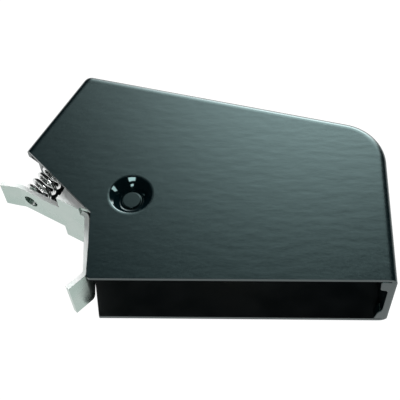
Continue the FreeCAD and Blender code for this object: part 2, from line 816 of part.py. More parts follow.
def blade(label, level, end, holes):
    """A flat contact blade from the rivet stack towards the contacts."""
    body = new_body(label, driver_across, driver_up - breaker_up)
    half = blade_width / 2
    start = dim(-6.4)
    pad(body, [(start, -half), (end, -half), (end, half), (start, half)], blade_thick, level)
    for across, radius in holes:
        drill(body, across, 0, radius, blade_thick + 1, level - 0.5)
    return body


def contact_breaker():
    floor = back_steel + cup_steel
    stack_holes = [(across, dim(0.65)) for across in stack_rivets_across()]
    blade("moving_blade_root", moving_blade_at, dim(-2.0), stack_holes)
    body = new_body("moving_blade", driver_across, driver_up - breaker_up)
    half = blade_width / 2
    tip = contact_across + 1.1
    pad(body, [(dim(-1.95), -half), (tip, -half), (tip, half), (dim(-1.95), half)], blade_thick, moving_blade_at)
    drill(body, contact_across, 0, dim(0.6), blade_thick + 1, moving_blade_at - 0.5)
    blade("fixed_blade", fixed_blade_at, screw_across + 1.1,
          stack_holes + [(pusher_across, dim(1.1)), (contact_across, dim(0.6))])
    lower = moving_blade_at + blade_thick
    meet = (lower + fixed_blade_at) / 2
    x, y = driver_across + contact_across, driver_up - breaker_up
    point(x, y, "moving_contact", lower, meet, -1)
    point(x, y, "fixed_contact", meet, fixed_blade_at, 1)
    insulator("base_insulator", floor, moving_blade_at)
    insulator("mid_insulator", lower, fixed_blade_at)
    top = fixed_blade_at + blade_thick
    insulator("stack_clamp", top, top + 0.6)
    pieces = []
    for number, across in enumerate(stack_rivets_across()):
        spot = (driver_across + across, driver_up - breaker_up)
        pieces.append(cylinder(f"stack_shank_{number}", *spot, back_steel + 0.1, dim(0.6), top + 0.6 - back_steel))
        pieces.append(cylinder(f"stack_head_{number}", *spot, top + 0.6, dim(0.95), 0.4))
    joined("stack_rivets", pieces)


def point(x, y, label, low, high, side):
    """A domed contact riveted through its blade: side -1 has its tail below, 1 above."""
    button = cylinder(label + "_button", x, y, low, contact_radius, high - low)
    tail_low = low - blade_thick if side < 0 else high
    tail = cylinder(label + "_tail", x, y, tail_low, dim(0.55), blade_thick)
    joined(label, [button, tail])


def insulator(label, low, high):
    body = new_body(label, driver_across, driver_up - breaker_up)
    half = blade_width / 2
    pad(body, [(dim(-6.4), -half), (dim(-2.0), -half), (dim(-2.0), half), (dim(-6.4), half)], high - low, low)
    for across in stack_rivets_across():
        drill(body, across, 0, dim(0.65), high - low + 1, low - 0.5)
    return body


def adjuster():
    """The tone adjusting screw, reached through the back plate, and its threaded bush."""
    x, y = driver_across + screw_across, driver_up - breaker_up
    floor = back_steel + cup_steel
    bush_top = floor + 1.8
    ring("adjusting_bush", x, y, screw_radius + running_gap, dim(2.0), floor, bush_top)
    shank = cylinder("screw_shank", x, y, 0.9, screw_radius, fixed_blade_at - 0.03 - 0.9)
    head = cylinder("screw_head", x, y, 0.3, dim(2.4), 0.75)
    slot = block("screw_slot", x - 3, y - 0.35, 0.2, 6, 0.7, 0.5)
    cut_away("adjusting_screw", joined("screw_blank", [shank, head]), [slot])


# ---- terminals and suppression ----

def terminals():
    """Two push-on blades in a moulded block that fills a window in the top wall."""
    turn = -top_slope
    outer = steel + nest_gap
    inner = outer + steel
    clear = dim(0.05)
    low = terminal_level - window_height / 2 + clear
    tall = window_height - clear * 2
    start = terminal_along - window_length / 2 + clear
    x, y = on_top_wall(start, inner)
    base = block("block_core", x, y, low, window_length - clear * 2, inner, tall, turn)
    lip_x, lip_y = on_top_wall(start - 1.2, inner + 1.5)
    lip = block("block_lip", lip_x, lip_y, low - 0.6, window_length + 2.3, dim(1.5), tall + 1.2, turn)
    slots = []
    for number, side in enumerate((-1, 1)):
        along = terminal_along + side * terminal_pitch / 2 - terminal_width / 2
        x, y = on_top_wall(along, inner + terminal_in)
        long = inner + terminal_in + terminal_out
        level = terminal_level - terminal_thick / 2
        blade_body = new_body(f"terminal_{number + 1}", x, y, 0, turn)
        chamfer = dim(1.3)
        pad(blade_body, [(dim(0), dim(0)), (terminal_width, dim(0)), (terminal_width, long - chamfer),
                         (terminal_width - chamfer, long), (chamfer, long), (dim(0), long - chamfer)],
            terminal_thick, level)
        drill(blade_body, terminal_width / 2, long - 4.0, dim(0.9), terminal_thick + 1, level - 0.5)
        near_x, near_y = on_top_wall(along, inner + 4)
        slots.append(block(f"slot_{number}", near_x, near_y, level, terminal_width, dim(9), terminal_thick, turn))
    cut_away("terminal_block", joined("block_blank", [base, lip]), slots)


def suppressor():
    """The capacitor that quiets the contacts, in a clip on the back plate."""
    x, y = mouth_width - 9.6, dim(17.0)
    cylinder_body = new_body("capacitor", x, y)
    sketch = sketch_on(cylinder_body, "XZ_Plane")
    circle(sketch, 0, back_steel + 4.9, 4.0)
    feature(cylinder_body, "Pad", sketch, 14, away=True)
    saddle = new_body("capacitor_clip", x, y + 5)
    sketch = sketch_on(saddle, "XZ_Plane")
    base = back_steel
    outline(sketch, [(dim(-5.1), base), (dim(5.1), base), (dim(5.1), base + 5.5), (dim(4.3), base + 5.5),
                     (dim(4.3), base + 0.8), (dim(-4.3), base + 0.8), (dim(-4.3), base + 5.5),
                     (dim(-5.1), base + 5.5)])
    feature(saddle, "Pad", sketch, 4, away=True)


def lead(label, spots, level, radius):
    """A short stiff lead: straight runs joined by ball corners, lying at one level."""
    wire = None
    points = [FreeCAD.Vector(x.value, y.value, dim(level).value) for x, y in spots]
    for start, end in zip(points, points[1:]):
        run = Part.makeCylinder(radius, (end - start).Length, start, end - start)
        wire = run if wire is None else wire.fuse(run)
    for corner in points[1:-1]:
        wire = wire.fuse(Part.makeSphere(radius, corner))
    return part_feature(label, shift(wire.removeSplitter()))


def leads():
    """Stiff leads from the terminals past the cup: one to the coil side, one to the breaker side."""
    inner = steel + nest_gap + steel + terminal_in
    first = on_top_wall(terminal_along - terminal_pitch / 2, inner - 0.6)
    second = on_top_wall(terminal_along + terminal_pitch / 2, inner - 0.6)
    level = terminal_level - terminal_thick / 2 - 0.75
    side = driver_across + cup_radius
    lead("lead_coil", [first, (first[0] + 5, first[1] - 5), (side + 0.9, driver_up + 2)], level, 0.7)
    lead("lead_breaker", [second, (second[0] + 1.5, driver_up + 2), (side + 1.2, driver_up - 6)], level, 0.7)


def build():
    front_shell()
    back_plate()
    pivot_stack()
    clip_lever()
    lever_spring()
    spring_seat()
    driver_cup()
    diaphragm_stack()
    coil_parts()
    armature_parts()
    contact_breaker()
    adjuster()
    terminals()
    suppressor()
    leads()


NODES = [
    "face_sheet", "shoulder_wall", "top_wall", "corner_wall", "right_wall", "back_plate", "right_flange",
    "top_flange", "pivot_cup_front", "pivot_cup_back", "pivot_pin", "pivot_spacer", "pivot_washer_back",
    "pivot_washer_front",
    "clip_lever", "lever_spring", "spring_seat", "spring_spigot", "driver_cup", "rear_gasket", "diaphragm",
    "front_gasket", "clamp_ring", "ring_rivets", "coil_bobbin", "coil_winding", "pole_core", "armature",
    "tone_disc", "armature_nut", "pusher_pin", "moving_blade_root", "moving_blade", "fixed_blade",
    "moving_contact", "fixed_contact", "base_insulator", "mid_insulator", "stack_clamp", "stack_rivets",
    "adjusting_bush", "adjusting_screw", "terminal_1", "terminal_2", "terminal_block", "capacitor",
    "capacitor_clip", "lead_coil", "lead_breaker",
]


def check_and_write():
    doc.recompute()
    for item in doc.Objects:
        bad = {"Invalid", "Error"} & set(item.State)
        assert not bad, f"{item.Name} is {bad}"
    os.makedirs("parts", exist_ok=True)
    for name in NODES:
        shape = doc.getObject(name).Shape
        assert not shape.isNull() and shape.isValid(), f"{name} has no valid shape"
        shape.exportStep(f"parts/{name}.step")
        print(f"{name:20s} {shape.Volume:10.2f} mm3  solids {len(shape.Solids)}")


build()
check_and_write()
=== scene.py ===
import json
import math

import bmesh
import bpy
from mathutils import Matrix, Vector

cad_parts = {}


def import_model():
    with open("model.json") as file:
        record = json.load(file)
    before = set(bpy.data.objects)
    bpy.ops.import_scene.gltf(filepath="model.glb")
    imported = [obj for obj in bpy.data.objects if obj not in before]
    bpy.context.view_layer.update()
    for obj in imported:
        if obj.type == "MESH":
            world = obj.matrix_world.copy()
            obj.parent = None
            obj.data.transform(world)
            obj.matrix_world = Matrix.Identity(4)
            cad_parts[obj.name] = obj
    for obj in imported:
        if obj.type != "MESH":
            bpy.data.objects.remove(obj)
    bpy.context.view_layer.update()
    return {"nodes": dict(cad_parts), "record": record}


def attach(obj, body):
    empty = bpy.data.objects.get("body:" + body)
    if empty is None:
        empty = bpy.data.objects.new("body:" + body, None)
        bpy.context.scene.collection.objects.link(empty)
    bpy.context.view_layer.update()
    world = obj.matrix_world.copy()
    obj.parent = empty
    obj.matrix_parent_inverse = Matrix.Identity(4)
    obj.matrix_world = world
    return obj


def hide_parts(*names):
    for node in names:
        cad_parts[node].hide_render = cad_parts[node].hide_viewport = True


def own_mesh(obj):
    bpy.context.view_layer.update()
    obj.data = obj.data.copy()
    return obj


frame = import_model()

MM = 0.001

# ---- sizes of the horn, in millimetres from the left end of the mouth ----

MOUTH_WIDTH = 76.0
PLATE_CENTRE = 22.0
DEPTH = 23.25
SHEET = 1.0
BACK_SHEET = 1.2
TOP_SLOPE = math.radians(13.3)
PEAK_LEFT = 5.05
RIGHT_HEIGHT = 44.7
SHOULDER = (-19.0, 38.35)
LEFT_HEIGHT = 18.83
CORNER_RADIUS = 12.5
PEAK_RADIUS = 2.4
FACE_BEND = 1.8
BACK_ROLL = 1.9
MOUTH_START = 0.5
BACK_START = 0.8
BACK_LEAN = (3.25, 22.1)
FLANGE_TOP = 20.0
RELIEF_START = 3.6
RELIEF_FULL = 10.0
RELIEF_REACH = 2.4
WINDOW_ALONG = (48.0, 72.0)
WINDOW_LEVELS = (2.2, 8.2)
PIVOT = (9.89, 24.12)
DISH_DEPTH = 3.1
DISH_FLOOR = 2.6
DISH_WALL = (37, 57)
DISH_RIM = [(6.2, 0.0), (5.64, 0.0), (5.52, -0.03), (5.4, -0.09), (5.29, -0.17), (5.2, -0.25)]
DISH_SEGMENTS = 72
PIN_SHANK = 1.5
PIN_HEAD = 2.42
PIN_HEAD_HEIGHT = 0.45
PIN_HEAD_EDGE = [(2.2, 0.0), (2.36, 0.06), (PIN_HEAD, 0.18)]
MIDDLE = 11.625
TONGUE_ACROSS = (0.477, 0.879)
TONGUE_SPOT = (-18.77, 29.21)
TONGUE_LIFT = 1.28
SPRING_START = tuple(at + TONGUE_LIFT * across for at, across in zip(TONGUE_SPOT, TONGUE_ACROSS))
SPRING_SEAT = (-10.0, 42.8)
COIL_RADIUS = 3.2
COIL_PITCH = 2.2
WIRE_RADIUS = 0.5
ADJUSTER = (41.2, 20.5)
ADJUSTER_HOLE = 3.0
HOLE_SEGMENTS = 40
CORNER_STEPS = 14
MOUTH_CORNER = [(1.1, 0), (0.55, 0.12), (0.18, 0.4), (0, 0.9)]
FLANGE_BASE = 1.21
FLANGE_INNER = 74.25
FLANGE_OUTER = 74.98
LIP_OUTER = 75.85
LIP_ENDS = (-0.04, 2.6)

PEAK = (-PEAK_LEFT, RIGHT_HEIGHT + (MOUTH_WIDTH + PEAK_LEFT) * math.tan(TOP_SLOPE))


def spot(x, y, z=0.0):
    """A place on the horn, from the left end of the mouth, as metres in the frame."""
    return Vector(((x - MOUTH_WIDTH / 2) * MM, (y - PLATE_CENTRE) * MM, z * MM))


# ---- nodes and materials ----

def shader_tree(name):
    """A new material with its nodes, its links and its shader."""
    material = bpy.data.materials.new(name)
    material.use_nodes = True
    nodes = material.node_tree.nodes
    shader = nodes["Principled BSDF"]
    return material, nodes, material.node_tree.links, shader


def grain(nodes, links, scale, detail=3.0, rough=0.5):
    """Noise in object space: scale is cells per metre along each axis."""
    place = nodes.new("ShaderNodeTexCoord")
    mapping = nodes.new("ShaderNodeMapping")
    mapping.inputs["Scale"].default_value = scale
    links.new(place.outputs["Object"], mapping.inputs["Vector"])
    noise = nodes.new("ShaderNodeTexNoise")
    noise.inputs["Scale"].default_value = 1.0
    noise.inputs["Detail"].default_value = detail
    noise.inputs["Roughness"].default_value = rough
    links.new(mapping.outputs["Vector"], noise.inputs["Vector"])
    return noise.outputs["Fac"]


def spread(nodes, links, source, low, high, start=0.3, end=0.7):
    """A value between low and high as the source goes from start to end."""
    node = nodes.new("ShaderNodeMapRange")
    node.inputs["From Min"].default_value = start
    node.inputs["From Max"].default_value = end
    node.inputs["To Min"].default_value = low
    node.inputs["To Max"].default_value = high
    links.new(source, node.inputs["Value"])
    return node.outputs["Result"]


def two_tone(nodes, links, source, first, second):
    """A colour that goes from the first to the second with the source."""
    node = nodes.new("ShaderNodeMix")
    node.data_type = "RGBA"
    node.inputs["A"].default_value = (*first, 1)
    node.inputs["B"].default_value = (*second, 1)
    links.new(spread(nodes, links, source, 0, 1), node.inputs["Factor"])
    return node.outputs["Result"]


def relief(nodes, links, source, height, strength, below=None):
    """A bump in metres, laid over another where one is given."""
    node = nodes.new("ShaderNodeBump")
    node.inputs["Strength"].default_value = strength
    node.inputs["Distance"].default_value = height
    links.new(source, node.inputs["Height"])
    if below is not None:
        links.new(below, node.inputs["Normal"])
    return node.outputs["Normal"]


WORN_STRENGTH = 0.3
GLOSS_TINT = (0.66, 1.0, 1.0, 1)
PEEL_HEIGHT = 0.0022


def worn_finish(name, first, second, metallic, roughness, patch, fine, height, coat=0.0):
    """A finish with patchy colour, patchy gloss and a fine relief, all at real scale."""
    material, nodes, links, shader = shader_tree(name)
    shader.inputs["Metallic"].default_value = metallic
    shader.inputs["Coat Weight"].default_value = coat
    cloud = grain(nodes, links, patch)
    texture = grain(nodes, links, fine, 2.0)
    links.new(two_tone(nodes, links, cloud, first, second), shader.inputs["Base Color"])
    links.new(spread(nodes, links, cloud, roughness[0], roughness[1]), shader.inputs["Roughness"])
    links.new(relief(nodes, links, texture, height, WORN_STRENGTH), shader.inputs["Normal"])
    return material


def black_enamel(name, ripple_height, roughness):
    """Stoved black enamel: a fine orange peel over long shallow ripples, with a cool tint in its gloss."""
    material, nodes, links, shader = shader_tree(name)
    shader.inputs["Specular Tint"].default_value = GLOSS_TINT
    ripple = grain(nodes, links, (210, 560, 400), 1.0, 0.4)
    peel = grain(nodes, links, (1100, 1900, 1500), 1.0, 0.4)
    tone = grain(nodes, links, (60, 90, 70), 2.0)
    links.new(two_tone(nodes, links, tone, (0.0004, 0.0030, 0.0040), (0.0008, 0.0038, 0.0050)),
              shader.inputs["Base Color"])
    links.new(spread(nodes, links, peel, roughness[0], roughness[1]), shader.inputs["Roughness"])
    wide = relief(nodes, links, ripple, ripple_height * MM, 1.0)
    links.new(relief(nodes, links, peel, PEEL_HEIGHT * MM, 1.0, wide), shader.inputs["Normal"])
    return material


ENAMEL = black_enamel("black_enamel", 0.017, (0.17, 0.23))
GLOSS_ENAMEL = black_enamel("glossy_enamel_in_dish", 0.002, (0.05, 0.09))
INSIDE_ENAMEL = worn_finish("thin_enamel_inside", (0.0012, 0.0030, 0.0036), (0.0022, 0.0045, 0.0052), 0.0,
                            (0.42, 0.55), (150, 200, 170), (1500, 1500, 1500), 0.006 * MM)
PLATED = worn_finish("bright_zinc_plate", (0.34, 0.43, 0.39), (0.42, 0.49, 0.455), 1.0, (0.22, 0.32),
                     (120, 160, 140), (900, 2600, 900), 0.004 * MM)
# Much lighter than the plate: partly the bare steel of a sheared edge, partly a painted highlight on faces turned
# up to the light
SHEARED_EDGE_AND_PAINTED_LIGHT = worn_finish("sheared_zinc_edge_and_painted_light", (0.84, 0.90, 0.88), (0.95, 0.97, 0.96), 0.35, (0.5, 0.65),
                      (300, 300, 500), (900, 2600, 900), 0.012 * MM)
SPRING_WIRE = worn_finish("drawn_spring_wire", (0.62, 0.64, 0.64), (0.78, 0.79, 0.78), 1.0, (0.10, 0.2),
                          (300, 300, 300), (3000, 3000, 3000), 0.003 * MM)
BRIGHT_STEEL = worn_finish("bright_steel", (0.48, 0.49, 0.50), (0.60, 0.61, 0.61), 1.0, (0.22, 0.38),
                           (200, 200, 200), (2600, 900, 900), 0.005 * MM)
DULL_PLATE = worn_finish("dull_plated_cup", (0.50, 0.51, 0.46), (0.63, 0.62, 0.53), 1.0, (0.3, 0.48),
                         (90, 90, 90), (1500, 1500, 500), 0.006 * MM)
BRASS = worn_finish("satin_brass", (0.62, 0.43, 0.17), (0.76, 0.56, 0.26), 1.0, (0.25, 0.42),
                    (250, 250, 250), (700, 3200, 900), 0.005 * MM)
SILVER = worn_finish("silver_contact", (0.78, 0.77, 0.73), (0.86, 0.85, 0.82), 1.0, (0.2, 0.34),
                     (500, 500, 500), (3000, 3000, 3000), 0.003 * MM)
COPPER = worn_finish("enamelled_copper", (0.42, 0.13, 0.045), (0.55, 0.2, 0.07), 0.85, (0.2, 0.32),
                     (300, 300, 300), (2500, 2500, 2500), 0.003 * MM, coat=0.6)
PHENOLIC = worn_finish("brown_phenolic", (0.06, 0.028, 0.014), (0.10, 0.05, 0.026), 0.0, (0.38, 0.55),
                       (350, 350, 350), (2200, 2200, 2200), 0.012 * MM)
RUBBER = worn_finish("gasket_rubber", (0.010, 0.010, 0.010), (0.022, 0.022, 0.021), 0.0, (0.7, 0.85),
                     (400, 400, 400), (2500, 2500, 2500), 0.02 * MM)
SLEEVE = worn_finish("capacitor_sleeve", (0.012, 0.035, 0.12), (0.02, 0.05, 0.16), 0.0, (0.22, 0.34),
                     (150, 150, 150), (1200, 1200, 1200), 0.008 * MM)
LEAD_SKIN = worn_finish("red_lead_skin", (0.25, 0.012, 0.010), (0.33, 0.02, 0.016), 0.0, (0.35, 0.5),
                        (300, 300, 300), (1800, 1800, 1800), 0.008 * MM)


# ---- making meshes ----

def in_scene(name, data):
    item = bpy.data.objects.new(name, data)
    bpy.context.scene.collection.objects.link(item)
    return item


def new_piece(name, mesh, material, body, replaced):
    """A finished piece that rides on a body and takes the place of CAD nodes."""
    piece = in_scene(name, mesh)
    if not mesh.materials:
        mesh.materials.append(material)
    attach(piece, body)
    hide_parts(*replaced)
    return piece


def settle(piece):
    """Applies the piece's modifiers and keeps only the finished mesh."""
    graph = bpy.context.evaluated_depsgraph_get()
    mesh = bpy.data.meshes.new_from_object(piece.evaluated_get(graph))
    bpy.data.objects.remove(piece)
    return mesh


def soft_edges(mesh, width, angle=30, segments=2, thickness=None):
    """Gives a mesh its sheet thickness where asked, small rounded edges, and flat normals on flat faces."""
    piece = in_scene("work", mesh)
    if thickness:
        solid = piece.modifiers.new("sheet", "SOLIDIFY")
        solid.thickness = thickness * MM
        solid.offset = -1
        solid.use_even_offset = True
        solid.material_offset = 1
    bevel = piece.modifiers.new("edges", "BEVEL")
    bevel.width = width * MM
    bevel.segments = segments
    bevel.limit_method = "ANGLE"
    bevel.angle_limit = math.radians(angle)
    bevel.use_clamp_overlap = True
    rounded = settle(piece)
    rounded.shade_smooth()
    rounded.set_sharp_from_angle(angle=math.radians(50))
    piece = in_scene("work", rounded)
    piece.modifiers.new("normals", "WEIGHTED_NORMAL").keep_sharp = True
    return settle(piece)


def bm_to_mesh(bm, name, clean=True):
    """The mesh of these faces, with double points merged and faces turned outwards where it is cleaned."""
    if clean:
        bmesh.ops.remove_doubles(bm, verts=bm.verts, dist=0.001 * MM)
        bmesh.ops.recalc_face_normals(bm, faces=bm.faces)
    mesh = bpy.data.meshes.new(name)
    bm.to_mesh(mesh)
    bm.free()
    return mesh


def circle(bm, centre, radius, height, count):
    """Points round an upright axis, starting at its right."""
    return [bm.verts.new(spot(centre[0] + radius * math.cos(math.tau * step / count),
                              centre[1] + radius * math.sin(math.tau * step / count), height))
            for step in range(count)]


def band(bm, first, second):
    """The faces between two closed rings of points."""
    count = len(first)
    return [bm.faces.new((first[step], first[(step + 1) % count], second[(step + 1) % count], second[step]))
            for step in range(count)]


def refined(node, width):
    """A copy of a CAD node's mesh with its triangles merged and its edges rounded."""
    bm = bmesh.new()
    bm.from_mesh(frame["nodes"][node].data)
    bmesh.ops.remove_doubles(bm, verts=bm.verts, dist=0.0005 * MM)
    bmesh.ops.dissolve_limit(bm, angle_limit=math.radians(0.6), verts=bm.verts, edges=bm.edges)
    return soft_edges(bm_to_mesh(bm, node + "_fine", clean=False), width)


# ---- the folded housing ----

def walled_path():
    """The walled part of the outline, shoulder to mouth: points with their inward directions."""
    corners = [Vector(SHOULDER), Vector(PEAK), Vector((MOUTH_WIDTH, RIGHT_HEIGHT)), Vector((MOUTH_WIDTH, 0))]
    shoulder_run = (corners[1] - corners[0]).normalized()
    open_side = (Vector((0, LEFT_HEIGHT)) - corners[0]).normalized()
    path = [(corners[0], open_side / open_side.dot(Vector((shoulder_run.y, -shoulder_run.x))))]
    for number, radius in ((1, PEAK_RADIUS), (2, CORNER_RADIUS)):
        corner = corners[number]
        before = (corner - corners[number - 1]).normalized()
        after = (corners[number + 1] - corner).normalized()
        turn = before.angle(after)
        start = corner - before * radius * math.tan(turn / 2)
        centre = start + Vector((before.y, -before.x)) * radius
        spoke = start - centre
        count = max(3, round(CORNER_STEPS * turn))
        for step in range(count + 1):
            heading = turn * step / count
            out = Vector((spoke.x * math.cos(heading) + spoke.y * math.sin(heading),
                          spoke.y * math.cos(heading) - spoke.x * math.sin(heading)))
            path.append((centre + out, -out.normalized()))
        if number == 1:
            path += [(corner + after * along, Vector((after.y, -after.x))) for along in WINDOW_ALONG]
    path.append((corners[3], Vector((-1, 0))))
    return path


def relief_reach(level):
    """How far the shoulder wall's free end is cut back at this height, to clear the lever spring."""
    below = DEPTH - level - RELIEF_START
    return RELIEF_REACH * min(max(below / (RELIEF_FULL - RELIEF_START), 0), 1)


def bend_levels(start, end, radius, upward, between=(), steps=6):
    """Inset and height pairs from a wall's free edge, round the bend, to the flat sheet."""
    sign = 1 if upward else -1
    levels = [(0.0, height) for height in (start, *between, end - sign * radius)]
    for step in range(1, steps + 1):
        angle = math.pi / 2 * step / steps
        levels.append((radius * (1 - math.cos(angle)), end - sign * radius * (1 - math.sin(angle))))
    levels.append((radius + 0.5, end))
    return levels


def edge_roll(high, radius, steps=5):
    """Inset and height pairs round the part of a bend that lies below a height, down to the flat back."""
    first = math.asin((radius - high) / radius)
    angles = [first + (math.pi / 2 - first) * step / steps for step in range(steps + 1)]
    roll = [(radius * (1 - math.cos(angle)), radius * (1 - math.sin(angle))) for angle in angles]
    return [*roll, (radius + 0.3, 0)]


def dish_rings(face, upward):
    """Rings from the flat round the pressed dish, over its rim and down its wall to the floor."""
    sign = 1 if upward else -1
    profile = list(DISH_RIM)
    steps = 14
    across, down = profile[-1]
    run = (across - DISH_FLOOR) / steps
    for step in range(steps):
        slope = DISH_WALL[0] + (DISH_WALL[1] - DISH_WALL[0]) * (step + 0.5) / steps
        down -= run * math.tan(math.radians(slope))
        across -= run
        profile.append((across, down))
    profile += [(DISH_FLOOR - 0.08, -DISH_DEPTH + 0.02), (DISH_FLOOR - 0.2, -DISH_DEPTH), (1.2, -DISH_DEPTH)]
    return [(radius, face + sign * height) for radius, height in profile]


def folded_sheet(levels, face, upward, left_side, relieved=False, holes=()):
    """One folded skin: the wall round the path, the bend, the flat sheet and its dish and holes."""
    bm = bmesh.new()
    path = walled_path()
    run = (Vector(PEAK) - Vector(SHOULDER)).normalized()
    rings = []
    for inset, height in levels:
        ring = [point + way * inset for point, way in path]
        if relieved:
            ring[0] = ring[0] + run * relief_reach(height)
        rings.append([bm.verts.new(spot(*point, height)) for point in ring])
    window_side = [round((point - Vector(PEAK)).length, 2) for point, way in path].index(WINDOW_ALONG[0])
    for (lower, upper), (inset, height) in zip(zip(rings, rings[1:]), levels):
        for here in range(len(path) - 1):
            open_cell = relieved and here == window_side and abs(height - WINDOW_LEVELS[0]) < 0.01
            if not open_cell:
                bm.faces.new((lower[here], lower[here + 1], upper[here + 1], upper[here]))
    rim = [rings[-1][-1], *(bm.verts.new(spot(x, y, face)) for x, y in left_side), rings[-1][0]]
    edges = [bm.edges.new(pair) for pair in zip(rim, rim[1:])]
    edges += [bm.edges.get((rings[-1][here], rings[-1][here + 1])) for here in range(len(path) - 1)]
    dish = [circle(bm, PIVOT, radius, height, DISH_SEGMENTS) for radius, height in dish_rings(face, upward)]
    for number, (outer, inner) in enumerate(zip(dish, dish[1:])):
        for piece in band(bm, outer, inner):
            piece.material_index = 2 if number > 2 else 0
    edges += [bm.edges.get((dish[0][step], dish[0][(step + 1) % DISH_SEGMENTS])) for step in range(DISH_SEGMENTS)]
    for x, y, radius in holes:
        ring = circle(bm, (x, y), radius, face, HOLE_SEGMENTS)
        edges += [bm.edges.new((ring[step], ring[(step + 1) % HOLE_SEGMENTS])) for step in range(HOLE_SEGMENTS)]
    bmesh.ops.triangle_fill(bm, use_beauty=True, edges=edges, normal=(0, 0, 1 if upward else -1))
    bmesh.ops.recalc_face_normals(bm, faces=bm.faces)
    bm.normal_update()
    flat = max(bm.faces, key=lambda item: item.calc_area() * abs(item.normal.z))
    if (flat.normal.z > 0) != upward:
        bmesh.ops.reverse_faces(bm, faces=bm.faces)
    mesh = bm_to_mesh(bm, "fold", clean=False)
    for material in (ENAMEL, INSIDE_ENAMEL, GLOSS_ENAMEL):
        mesh.materials.append(material)
    return mesh


def front_shell():
    """The front pressing: walls, bend, face and dish in one skin."""
    between = (*WINDOW_LEVELS, DEPTH - RELIEF_FULL, DEPTH - RELIEF_START)
    levels = bend_levels(BACK_SHEET + 0.02, DEPTH, FACE_BEND, True, between)
    left_side = [(MOUTH_START + across, up) for across, up in MOUTH_CORNER] + [(0, LEFT_HEIGHT)]
    mesh = folded_sheet(levels, DEPTH, True, left_side, relieved=True)
    mesh = soft_edges(mesh, 0.2, 40, 3, SHEET)
    return new_piece("front_shell_pressing", mesh, ENAMEL, "housing",
                     ("face_sheet", "shoulder_wall", "top_wall", "corner_wall", "right_wall", "pivot_cup_front"))


def back_shell():
    """The back pressing, with its own dish and the hole over the adjusting screw."""
    levels = edge_roll(BACK_SHEET - 0.02, BACK_ROLL)
    left_side = [(BACK_START, 0), (-BACK_LEAN[0], BACK_LEAN[1])]
    mesh = folded_sheet(levels, 0, False, left_side, holes=[(*ADJUSTER, ADJUSTER_HOLE)])
    mesh = soft_edges(mesh, 0.2, 40, 3, BACK_SHEET - 0.05)
    return new_piece("back_plate_pressing", mesh, ENAMEL, "housing",
                     ("back_plate", "pivot_cup_back"))


# ---- all other pieces keep their CAD shape, with rounded edges ----

FINISHES = {
    "top_flange": (ENAMEL, 0.18),
    "pivot_spacer": (BRIGHT_STEEL, 0.1), "pivot_washer_back": (PLATED, 0.1), "pivot_washer_front": (PLATED, 0.1),
    "clip_lever": (PLATED, 0.24), "spring_seat": (PLATED, 0.12), "spring_spigot": (BRIGHT_STEEL, 0.12),
    "driver_cup": (DULL_PLATE, 0.15), "rear_gasket": (RUBBER, 0.08), "diaphragm": (BRIGHT_STEEL, 0.06),
    "front_gasket": (RUBBER, 0.08), "clamp_ring": (DULL_PLATE, 0.15), "ring_rivets": (BRASS, 0.2),
    "coil_bobbin": (PHENOLIC, 0.1), "coil_winding": (COPPER, 0.1), "pole_core": (BRIGHT_STEEL, 0.15),
    "armature": (BRIGHT_STEEL, 0.12), "tone_disc": (DULL_PLATE, 0.12), "armature_nut": (PLATED, 0.15),
    "pusher_pin": (PHENOLIC, 0.08), "moving_blade_root": (BRASS, 0.05), "moving_blade": (BRASS, 0.05),
    "fixed_blade": (BRASS, 0.05), "moving_contact": (SILVER, 0.15), "fixed_contact": (SILVER, 0.15),
    "base_insulator": (PHENOLIC, 0.1), "mid_insulator": (PHENOLIC, 0.1), "stack_clamp": (BRASS, 0.08),
    "stack_rivets": (BRASS, 0.12), "adjusting_bush": (BRASS, 0.1), "adjusting_screw": (BRASS, 0.1),
    "terminal_1": (BRASS, 0.1), "terminal_2": (BRASS, 0.1), "terminal_block": (PHENOLIC, 0.25),
    "capacitor": (SLEEVE, 0.5), "capacitor_clip": (PLATED, 0.1), "lead_coil": (LEAD_SKIN, 0.05),
    "lead_breaker": (LEAD_SKIN, 0.05),
}

BODY_OF = {node: body for body, nodes in frame["record"]["behaviour"]["bodies"].items() for node in nodes}


def finish_node(node, material, width):
    """One CAD node with rounded edges and its finish; on the lever, the faces that point straight up or down, its
    cut sides among them, take a much lighter finish: a bare sheared edge in part, painted light in part.
    """
    mesh = refined(node, width)
    if node == "clip_lever":
        mesh.materials.append(material)
        mesh.materials.append(SHEARED_EDGE_AND_PAINTED_LIGHT)
        for face in mesh.polygons:
            # faces turned straight up or down get the lighter finish: a real cut edge in part, a painted
            # highlight on the up-facing faces in part
            face.material_index = 1 if abs(face.normal.z) > 0.97 else 0
    return new_piece(node + "_piece", mesh, material, BODY_OF[node], (node,))


def closed_prism(bm, profile, low, high):
    """A prism along the mouth's depth axis: a profile of across and height pairs between two distances up."""
    ends = [[bm.verts.new(spot(x, up, z)) for x, z in profile] for up in (low, high)]
    bm.faces.new(ends[0])
    bm.faces.new(ends[1][::-1])
    for here in range(len(profile)):
        after = (here + 1) % len(profile)
        bm.faces.new((ends[0][after], ends[0][here], ends[1][here], ends[1][after]))


